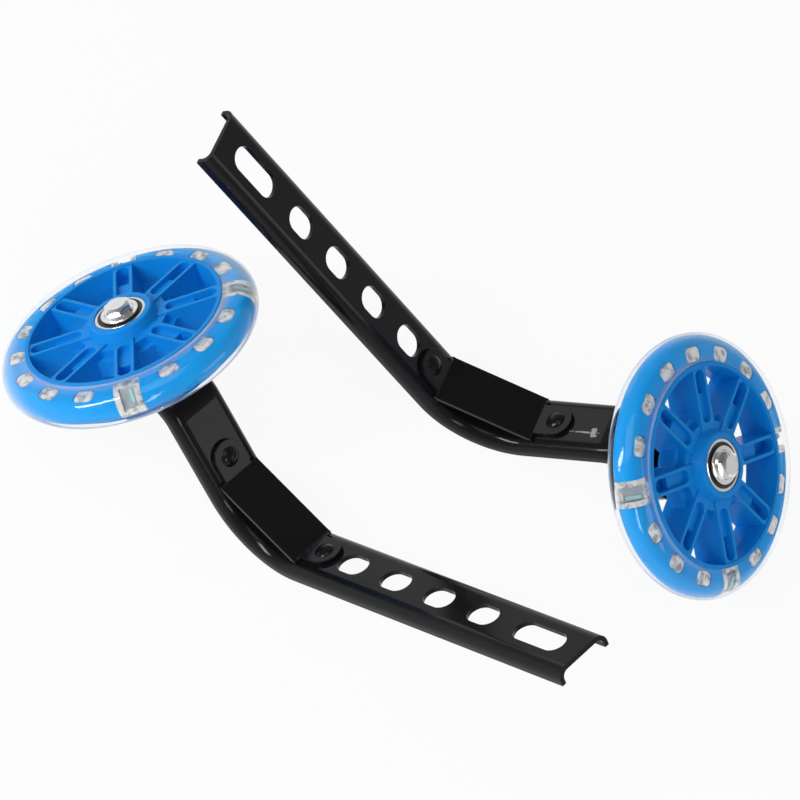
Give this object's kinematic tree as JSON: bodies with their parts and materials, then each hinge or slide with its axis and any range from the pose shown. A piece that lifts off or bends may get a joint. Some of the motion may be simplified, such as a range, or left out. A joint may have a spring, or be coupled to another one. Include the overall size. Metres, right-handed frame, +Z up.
{
  "type": "bicycle training wheels",
  "caption": "Pair of bicycle training wheels: black channel brackets with axle slots and a riveted knee brace, each with a blue spoked wheel in a clear light-up tyre.",
  "frame": {"origin": "middle of the pair's bounding box, on the floor they stand on", "axes": "+Z up from the floor; +X along the row from the left wheel to the right wheel; +Y away from the picture's viewer"},
  "size_m": [0.3212, 0.2094, 0.1209],
  "materials": {
    "black_paint": "gloss black powder coat on steel, chipped in one place",
    "zinc": "bright zinc plate",
    "bearing_steel": "ground steel",
    "seal": "black moulded seal",
    "blue_plastic": "glossy moulded blue",
    "clear_tyre": "clear moulded urethane",
    "board": "grey circuit board",
    "emitter": "teal lamp"
  },
  "bodies": {
    "brackets": {"right_bracket": "black_paint", "right_brace": "black_paint", "right_brace_rivets": "black_paint", "right_axle_bolt": "zinc", "right_front_washer": "zinc", "right_axle_sleeve": "zinc", "right_bearing_spacer": "zinc", "right_back_spacer": "zinc", "right_back_washer": "zinc", "right_lock_nut": "zinc", "right_front_bearing_inner_ring": "bearing_steel", "right_back_bearing_inner_ring": "bearing_steel", "left_bracket": "black_paint", "left_brace": "black_paint", "left_brace_rivets": "black_paint", "left_axle_bolt": "zinc", "left_front_washer": "zinc", "left_axle_sleeve": "zinc", "left_bearing_spacer": "zinc", "left_back_spacer": "zinc", "left_back_washer": "zinc", "left_lock_nut": "zinc", "left_front_bearing_inner_ring": "bearing_steel", "left_back_bearing_inner_ring": "bearing_steel"},
    "right_wheel": {"right_wheel_core": "blue_plastic", "right_tyre": "clear_tyre", "right_light_boards": "board", "right_light_emitters": "emitter", "right_front_bearing_outer_ring": "bearing_steel", "right_front_bearing_balls": "bearing_steel", "right_front_bearing_seals": "seal", "right_back_bearing_outer_ring": "bearing_steel", "right_back_bearing_balls": "bearing_steel", "right_back_bearing_seals": "seal"},
    "left_wheel": {"left_wheel_core": "blue_plastic", "left_tyre": "clear_tyre", "left_light_boards": "board", "left_light_emitters": "emitter", "left_front_bearing_outer_ring": "bearing_steel", "left_front_bearing_balls": "bearing_steel", "left_front_bearing_seals": "seal", "left_back_bearing_outer_ring": "bearing_steel", "left_back_bearing_balls": "bearing_steel", "left_back_bearing_seals": "seal"}
  },
  "joints": [
    {"name": "right_wheel_spin", "type": "hinge", "parent": "brackets", "child": "right_wheel", "pos_m": [0.1173, 0.04969, 0.03941], "axis": [0.6634, 0, 0.7483], "continuous": true},
    {"name": "left_wheel_spin", "type": "hinge", "parent": "brackets", "child": "left_wheel", "pos_m": [-0.11549, -0.00588, 0.03941], "axis": [-0.6166, 0.2447, 0.7483], "continuous": true}
  ]
}
